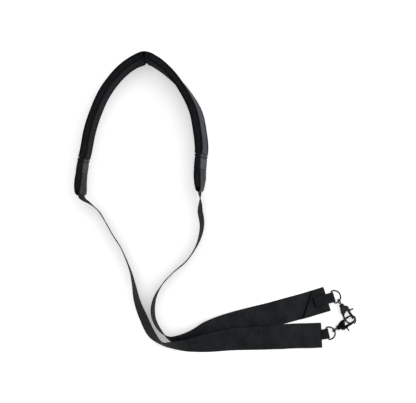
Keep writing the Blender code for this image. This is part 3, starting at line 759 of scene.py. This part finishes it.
def webbing_material(name, low, high, rib, warp, roughness):
    made, tree, shader = new_material(name, roughness, Specular_IOR_Level=0.012)
    spread = node(tree, "UVMap", uv_map="lay")
    shift = node(tree, "Mapping", {"Location": (rib / 2, warp / 2, 0.0),
                                             "Vector": spread})
    rows = []
    for vector in (spread, shift):
        ribs = node(tree, "TexWave", {"Scale": WAVE / rib, "Vector": vector}, "Fac")
        yarns = node(tree, "TexWave", {"Scale": WAVE / warp, "Vector": vector}, "Fac",
                     bands_direction="Y")
        crossings = node(tree, "Math", {0: ribs, 1: yarns}, operation="MULTIPLY")
        rows.append((ribs, crossings))
    ribs = rows[0][0]
    knots = node(tree, "Math", {0: rows[0][1], 1: rows[1][1]}, operation="MAXIMUM")
    cloudy = node(tree, "TexNoise", {"Scale": 0.05, "Detail": 4.0, "Roughness": 0.6,
                                            "Vector": spread})
    # Painted shade at the cut ends, kept in the mesh.
    painted_end_shade = node(tree, "Attribute", output="Fac", attribute_name="painted_shade")
    tone = node(tree, "Math", {0: knots, 1: 0.2, 2: cloudy}, operation="MULTIPLY_ADD")
    tone = node(tree, "Math", {0: ribs, 1: 0.3, 2: tone}, operation="MULTIPLY_ADD")
    tone = node(tree, "Math", {0: tone, 1: painted_end_shade}, operation="SUBTRACT")
    cloth = node(tree, "Math", {0: ribs, 1: 0.7, 2: knots}, operation="MULTIPLY_ADD")
    surface(tree, shader, tone, (0.3, low), (1.0, high), cloth, 0.22, 0.8)
    return made


nylon = webbing_material("black nylon webbing", "#0d0e0f", "#2a2d2f", RIB, WARP, 0.55)
LOWER_TAIL, LOWER_SLANT = 51.0, 6.0
UPPER_TAIL, UPPER_SLANT = 31.5, 14.0
left_rows = web_edges(LEFT_PATH)
left_rows += turn_back(left_rows, LOWER_TAIL, LOWER_SLANT, above=False)
right_rows = web_edges(RIGHT_PATH)
right_rows += turn_back(right_rows, UPPER_TAIL, UPPER_SLANT, above=True)
left_web, left_long = ribbon("webbing_left_strap", left_rows, WEB_WIDTH, WEB_THICK, nylon,
                             ["webbing_left"], 0.3)
right_web, right_long = ribbon("webbing_right_strap", right_rows, WEB_WIDTH, WEB_THICK, nylon,
                               ["webbing_right"], 0.3)


# Narrow loops: 15 mm tape doubled round each ring's straight bar and box-stitched to the
# strap's end. The upper one lies on top of its strap, the lower one underneath.
LOOP_WIDTH = 15.0
LOOP_THICK = 1.1
LOOP_SEWN = 20.5  # how much of the loop is sewn to the strap
LOOP_FRONT = 2.2  # how far it stays flat beyond the strap's end
LOOP_WRAP = 4.5  # how far before the ring's bar it starts to wrap it
RING_AHEAD = 10.2  # from the strap's end to the ring's bar
RING_WIRE = 1.1
# Each ring's heading in degrees, and the heights of its loop's middle, its bar and its bow.
UPPER_RING = dict(heading=17.0, sewn_z=4.6, bar_z=4.5, bow_z=7.5)
LOWER_RING = dict(heading=13.0, sewn_z=1.3, bar_z=2.7, bow_z=4.1)


def narrow_loop(name, end, ring, material, replaced):
    """The tape's run: back along the strap, round the ring's bar, and back again."""
    heading = radians(ring["heading"])
    ahead = Vector((cos(heading), sin(heading), 0))
    aside = left_of(ahead) * LOOP_WIDTH / 2
    end = Vector((end[0], end[1], 0))
    sewn_z, bar_z = ring["sewn_z"], ring["bar_z"]
    turn = RING_WIRE + GAP + LOOP_THICK / 2
    reach = RING_AHEAD - LOOP_WRAP
    layers = []
    for sign in (-1, 1):
        flat_z, wrap_z = sewn_z + sign * (LOOP_THICK + GAP) / 2, bar_z + sign * turn * 0.8
        layer = [(-LOOP_SEWN + (LOOP_SEWN + LOOP_FRONT) * k / 14, flat_z) for k in range(15)]
        layer += [(LOOP_FRONT + (reach - LOOP_FRONT) * k / 4,
                   flat_z + (wrap_z - flat_z) * ease(k / 4, 0, 1)) for k in (1, 2, 3, 4)]
        layers.append(layer)
    around = [radians(-110 + 220 * k / 16) for k in range(17)]
    profile = layers[0] + [(RING_AHEAD + turn * cos(angle), bar_z + turn * sin(angle))
                           for angle in around] + layers[1][::-1]
    rows = []
    for forward, height in profile:
        middle = end + ahead * forward + Vector((0, 0, height))
        rows.append([middle - aside, middle + aside])
    piece, length = ribbon(name, rows, LOOP_WIDTH, LOOP_THICK, material, replaced)
    return piece, length, end, ahead


def box_stitch(name, end, ahead, height, material):
    """A sewn rectangle with a cross in it, on top of the loop's sewn part."""
    back, front, half = 1.8 - LOOP_SEWN, -2.2, 5.8
    corners = [end + ahead * a + left_of(ahead) * b + Vector((0, 0, height))
               for a, b in ((back, -half), (front, -half), (front, half), (back, half))]
    places = []
    for a, b in ((0, 1), (1, 2), (2, 3), (3, 0), (0, 2), (1, 3)):
        count = round((corners[b] - corners[a]).length / 2.4)
        for k in range(count):
            places.append((corners[a].lerp(corners[b], (k + 0.1) / count),
                           corners[a].lerp(corners[b], (k + 0.9) / count), Vector((0, 0, 1))))
    stitches(name, places, material, 0.36)


narrow = webbing_material("black narrow nylon tape", "#0d0e0f", "#26292b", 2.4, 1.8, 0.6)
upper_loop, upper_long, end, ahead = narrow_loop("loop_upper_tape", RIGHT_PATH[-1], UPPER_RING,
                                                 narrow, ["loop_upper"])
box_stitch("loop_upper_stitches", end, ahead,
           UPPER_RING["sewn_z"] + (LOOP_THICK + GAP) / 2 + LOOP_THICK / 2, thread)
lower_loop, lower_long, *_ = narrow_loop("loop_lower_tape", LEFT_PATH[-1], LOWER_RING,
                                         narrow, ["loop_lower"])


# Metal: two D-rings of 2.2 mm wire and two swivel claw hooks, die-cast and plated black.
# Each hook is an eye with a stem, a barrel that carries the fixed claw between two cheeks,
# and a sprung gate lever on a rivet. The claws are hooked through each other.
RING_HALF, RING_DEPTH, RING_CORNER = 9.6, 11.8, 2.2
EYE_RADIUS, EYE_WIRE = 3.4, 0.85
EYE_PULL = 0.6  # how far the eye's middle is beyond the ring's wire
STEM_RADIUS, BARREL_RADIUS = 1.3, 3.8
BARREL_START, BARREL_END = 4.9, 10.5
CLAW_THICK, CHEEK_THICK = 2.4, 1.0
PIVOT = (13.8, 4.9)  # the rivet's axis, along the hook and across it
RIVET_RADIUS, RIVET_HEAD, HEAD_THICK = 1.0, 1.7, 0.45
# Where on its ring's bow each hook's eye is, and how the hook is turned, in degrees.
UPPER_HOOK = dict(bow=-58.0, heading=-59.6, pitch=1.0, side=1, roll=-22.0, eye_roll=45.0)
LOWER_HOOK = dict(bow=18.0, heading=34.0, pitch=14.0, side=-1, roll=35.0, eye_roll=-50.0)
# Outlines seen from the side: distance along the hook, and across it.
CLAW_OUTLINE = [
    (13, -4.6), (20, -7.2), (27, -7.9), (33, -6.9), (37.2, -3.8), (38.5, 0.6), (37.3, 5.0),
    (34.9, 8.2), (32.4, 8.9), (32.1, 7.5), (34.2, 6.2), (35.5, 3.0), (35.8, 0), (34.8, -2.8),
    (31.6, -4.8), (27, -5.2), (22, -4.4), (19.6, -2.0), (16, -0.4)]
CHEEK_OUTLINE = [
    (9.4, -3.6), (13, -5.4), (17.5, -6.6), (20.0, -5.4), (19.2, -1.6), (17.6, 2.2), (17.0, 5.6),
    (14.8, 7.9), (12, 7.0), (9.4, 3.6)]
GATE_OUTLINE = [
    (11.7, 3.5), (13.8, 2.5), (17, 2.8), (21, 3.3), (27, 3.9), (32.2, 3.9), (33.4, 5.2),
    (32.2, 6.5), (29.6, 7.2), (26, 7.5), (21.8, 7.4), (20.6, 8.6), (20.9, 13.8), (19.8, 14.2),
    (18.4, 9.0), (15.6, 7.6), (12.4, 7.0), (11.3, 5.2)]

# Black nickel plate over a cast surface: dark mirror-like metal, dulled by fine unevenness.
plated, tree, shader = new_material("black nickel plated zinc", 0.3, Metallic=1.0)
place = node(tree, "TexCoord", output="Object")
uneven = node(tree, "TexNoise", {"Scale": 260.0, "Detail": 4.0, "Vector": place})
surface(tree, shader, uneven, (0.3, "#0e0f10"), (0.75, "#2a2c2e"), uneven, 0.08, 0.5)
gloss = node(tree, "MapRange", {"Value": uneven, "To Min": 0.16, "To Max": 0.34})
tree.links.new(gloss, shader.inputs["Roughness"])


def ring_place(end, ring, forward, aside):
    heading = radians(ring["heading"])
    ahead = Vector((cos(heading), sin(heading), 0))
    rise = (ring["bow_z"] - ring["bar_z"]) / RING_DEPTH
    place = Vector((end[0], end[1], ring["bar_z"])) + ahead * (RING_AHEAD + forward)
    return place + left_of(ahead) * aside + Vector((0, 0, rise * forward))


def bow_place(end, ring, degrees):
    angle = radians(degrees)
    forward = RING_CORNER + (RING_DEPTH - RING_CORNER) * cos(angle)
    return ring_place(end, ring, forward, RING_HALF * sin(angle))


def metal(name, mesh, body, replaced):
    mesh.shade_smooth()
    mesh.set_sharp_from_angle(angle=radians(38))
    mesh.materials.clear()
    mesh.materials.append(plated)
    fit(bpy.data.objects.new(name, mesh), [replaced], body)


def d_ring(name, end, ring):
    """A wire bent to a D: a straight bar in the loop and a bow towards the hook."""
    half = RING_HALF - RING_CORNER
    points = [ring_place(end, ring, 0, half * (1 - 2 * k / 8)) for k in range(9)]
    points.append(ring_place(end, ring, 0.5, 0.6 - RING_HALF))
    points += [bow_place(end, ring, -90 + 5 * k) for k in range(37)]
    points.append(ring_place(end, ring, 0.5, RING_HALF - 0.6))
    bm = bmesh.new()
    corner = ring_place(end, ring, 0, 0)
    up = (ring_place(end, ring, 1, 0) - corner).cross(
        ring_place(end, ring, 0, 1) - corner).normalized()
    rings = []
    for i, point in enumerate(points):
        ahead = (points[(i + 1) % len(points)] - points[i - 1]).normalized()
        side = ahead.cross(up).normalized()
        rings.append([bm.verts.new(lay(
            point + (side * cos(pi * m / 8) + up * sin(pi * m / 8)) * RING_WIRE))
            for m in range(16)])
    bridge(bm, rings, closed=True)
    metal(name + "_wire", finished(name, bm), BODY, name)


def plate(outline, thickness, round_edge):
    """A flat plate from a smooth closed outline, with rounded edges."""
    curve = bpy.data.curves.new("outline", "CURVE")
    curve.dimensions, curve.fill_mode = "2D", "BOTH"
    curve.resolution_u = 5
    curve.extrude = (thickness / 2 - round_edge) * MM
    curve.bevel_depth = round_edge * MM
    curve.bevel_resolution = 3
    curve.offset = -round_edge * MM
    spline = curve.splines.new("BEZIER")
    spline.bezier_points.add(len(outline) - 1)
    spline.use_cyclic_u = True
    for point, (x, y) in zip(spline.bezier_points, outline):
        point.co = (x * MM, y * MM, 0)
        point.handle_left_type = point.handle_right_type = "AUTO"
    drawn = bpy.data.objects.new("outline", curve)
    link(drawn)
    graph = bpy.context.evaluated_depsgraph_get()
    graph.update()
    mesh = bpy.data.meshes.new_from_object(drawn.evaluated_get(graph))
    bpy.data.objects.remove(drawn)
    bpy.data.curves.remove(curve)
    bm = bmesh.new()
    bm.from_mesh(mesh)
    bmesh.ops.remove_doubles(bm, verts=bm.verts, dist=1e-6)
    bmesh.ops.recalc_face_normals(bm, faces=bm.faces)
    bm.to_mesh(mesh)
    bm.free()
    return mesh


def cylinder(start, end, radius):
    start, end = Vector(start), Vector(end)
    bm = bmesh.new()
    turn = (end - start).normalized().to_track_quat("Z", "Y").to_matrix().to_4x4()
    bmesh.ops.create_cone(bm, cap_ends=True, segments=32, radius1=radius * MM,
                          radius2=radius * MM, depth=(end - start).length * MM,
                          matrix=Matrix.Translation((start + end) / 2 * MM) @ turn)
    return finished("cylinder", bm)


def lathe(profile, sides=28):
    """A body turned about X through points of distance along and radius."""
    bm = bmesh.new()
    bridge(bm, [[bm.verts.new(Vector((x, r * cos(2 * pi * m / sides),
                                      r * sin(2 * pi * m / sides))) * MM)
                 for m in range(sides)] for x, r in profile])
    return finished("turned", bm)


def block(low, high):
    bm = bmesh.new()
    low, high = Vector(low) * MM, Vector(high) * MM
    place = Matrix.Translation((low + high) / 2) @ Matrix.Diagonal((*(high - low), 1.0))
    bmesh.ops.create_cube(bm, size=1.0, matrix=place)
    return finished("block", bm)


def eye_ring(roll, around=40, about=14):
    """The swivel's eye: a ring of wire, rolled about the hook's own line."""
    bm = bmesh.new()
    rings = []
    for i in range(around):
        angle = 2 * pi * i / around
        ring = []
        for j in range(about):
            turn = 2 * pi * j / about
            reach = EYE_RADIUS + EYE_WIRE * cos(turn)
            place = Vector((reach * cos(angle), EYE_WIRE * sin(turn),
                            reach * sin(angle)))
            ring.append(bm.verts.new(Matrix.Rotation(roll, 3, "X") @ place * MM))
        rings.append(ring)
    bridge(bm, rings, closed=True)
    return finished("eye", bm)


def combined(mesh, steps):
    """The mesh after joining or cutting others, in order, with exact Booleans."""
    base = bpy.data.objects.new("work", mesh)
    link(base)
    others = []
    for operation, other in steps:
        cutter = bpy.data.objects.new("work_cutter", other)
        link(cutter)
        step = base.modifiers.new(operation, "BOOLEAN")
        step.operation = operation
        step.object = cutter
        step.solver = "EXACT"
        others.append(cutter)
    graph = bpy.context.evaluated_depsgraph_get()
    graph.update()
    result = bpy.data.meshes.new_from_object(base.evaluated_get(graph))
    for thing in [base, *others]:
        bpy.data.objects.remove(thing)
    return result


def hook(word, place, eye_place):
    """Eye with stem, barrel with cheeks and claw, gate and rivet, set in their place."""
    side = place["side"]
    turn = (Matrix.Rotation(radians(place["heading"]), 4, "Z")
            @ Matrix.Rotation(radians(-place["pitch"]), 4, "Y")
            @ Matrix.Rotation(radians(place["roll"] * side), 4, "X"))
    stand = Matrix.Translation(lay(eye_place + turn @ Vector((EYE_PULL, 0, 0)))) @ turn

    def own(points):
        return [(x, y * side) for x, y in points][::side]

    slot = CLAW_THICK / 2 + GAP
    cheek = slot + CHEEK_THICK
    pin = (PIVOT[0], PIVOT[1] * side)
    hole = cylinder((*pin, -5), (*pin, 5), RIVET_RADIUS + GAP)
    near, far = sorted((1.2 * side, 12 * side))
    stem = lathe([(EYE_RADIUS - 0.2, 1.0), (EYE_RADIUS + 0.8, 1.25), (4.6, STEM_RADIUS),
                  (9.0, STEM_RADIUS)])
    barrel = lathe([(BARREL_START, 2.9), (BARREL_START + 0.25, 3.5),
                    (BARREL_START + 0.8, BARREL_RADIUS), (7.0, BARREL_RADIUS), (7.25, 3.55),
                    (7.65, 3.55), (7.9, BARREL_RADIUS), (BARREL_END - 0.5, BARREL_RADIUS),
                    (BARREL_END, 3.4)])
    eye = combined(eye_ring(radians(place["eye_roll"] * side)), [("UNION", stem)])
    body = combined(plate(own(CHEEK_OUTLINE), 2 * cheek, 0.8), [
        ("UNION", barrel), ("DIFFERENCE", block((10.3, near, -slot), (22, far, slot))),
        ("UNION", plate(own(CLAW_OUTLINE), CLAW_THICK, 0.95)),
        ("DIFFERENCE", cylinder((BARREL_START - 1, 0, 0), (9.6, 0, 0), STEM_RADIUS + GAP)),
        ("DIFFERENCE", hole)])
    gate = combined(plate(own(GATE_OUTLINE), CLAW_THICK, 0.8), [("DIFFERENCE", hole)])
    rivet = combined(cylinder((*pin, -cheek - 0.5), (*pin, cheek + 0.5), RIVET_RADIUS), [
        ("UNION", cylinder((*pin, sign * (cheek + GAP)), (*pin, sign * (cheek + GAP + HEAD_THICK)),
                           RIVET_HEAD)) for sign in (-1, 1)])
    for mesh, name, on in ((eye, "swivel_eye", BODY), (body, "hook_body", BODY),
                           (gate, "gate", "gate_" + word), (rivet, "rivet", BODY)):
        mesh.transform(stand)
        metal("%s_%s_cast" % (name, word), mesh, on, "%s_%s" % (name, word))


d_ring("d_ring_upper", RIGHT_PATH[-1], UPPER_RING)
d_ring("d_ring_lower", LEFT_PATH[-1], LOWER_RING)
hook("upper", UPPER_HOOK, bow_place(RIGHT_PATH[-1], UPPER_RING, UPPER_HOOK["bow"]))
hook("lower", LOWER_HOOK, bow_place(LEFT_PATH[-1], LOWER_RING, LOWER_HOOK["bow"]))


# The surface the strap lies on: a plain near-white board with a matt finish. It is lit a
# little from below, like a light table, so that shadows stay faint.
FLOOR_HALF = 3.0
board, tree, shader = new_material("matt white board", 0.9)
shader.inputs["Base Color"].default_value = linear("#f6f6f6")
shader.inputs["Emission Color"].default_value = (1, 1, 1, 1)
shader.inputs["Emission Strength"].default_value = 0.33
mesh = bpy.data.meshes.new("floor")
mesh.from_pydata([(-FLOOR_HALF, -FLOOR_HALF, 0), (FLOOR_HALF, -FLOOR_HALF, 0),
                  (FLOOR_HALF, FLOOR_HALF, 0), (-FLOOR_HALF, FLOOR_HALF, 0)], [], [(0, 1, 2, 3)])
mesh.materials.append(board)
floor = bpy.data.objects.new("floor", mesh)
link(floor)
floor.visible_diffuse = False  # no light from the board back up on the black cloth


# Soft studio light: a big panel overhead, a stronger one to the upper right, and a pale
# room all round.
def softbox(name, place, size, power):
    """A square panel of light, turned to the strap."""
    light = bpy.data.lights.new(name, "AREA")
    light.shape = "SQUARE"
    light.size = size
    light.energy = power
    lamp = bpy.data.objects.new(name, light)
    lamp.location = place
    lamp.rotation_euler = (-Vector(place)).to_track_quat("-Z", "Y").to_euler()
    link(lamp)


softbox("overhead panel", (0.4, 0.3, 3.0), 3.0, 50)
softbox("right panel", (2.6, 1.2, 1.9), 2.2, 34)
room = bpy.data.worlds.new("pale room")
room.use_nodes = True
background = room.node_tree.nodes["Background"].inputs
background["Color"].default_value = (1, 1, 1, 1)
background["Strength"].default_value = 0.45
bpy.context.scene.world = room
bpy.context.scene.view_settings.view_transform = "Standard"


# The camera: nearly overhead, a little to the right of the middle, with a long lens so
# that the standing band shows little more than its top edge.
eye_at, aim_at = lay((124.5, -28.5, 1400)), lay((-18.5, 5.5, 0))
lens = bpy.data.cameras.new("camera")
lens.sensor_width = 36.0
lens.lens = 78.5
camera = bpy.data.objects.new("camera", lens)
back = (eye_at - aim_at).normalized()
right = Vector((0, 1, 0)).cross(back).normalized()
up = back.cross(right)
camera.matrix_world = Matrix.Translation(eye_at) @ Matrix((right, up, back)).transposed().to_4x4()
link(camera)
bpy.context.scene.camera = camera
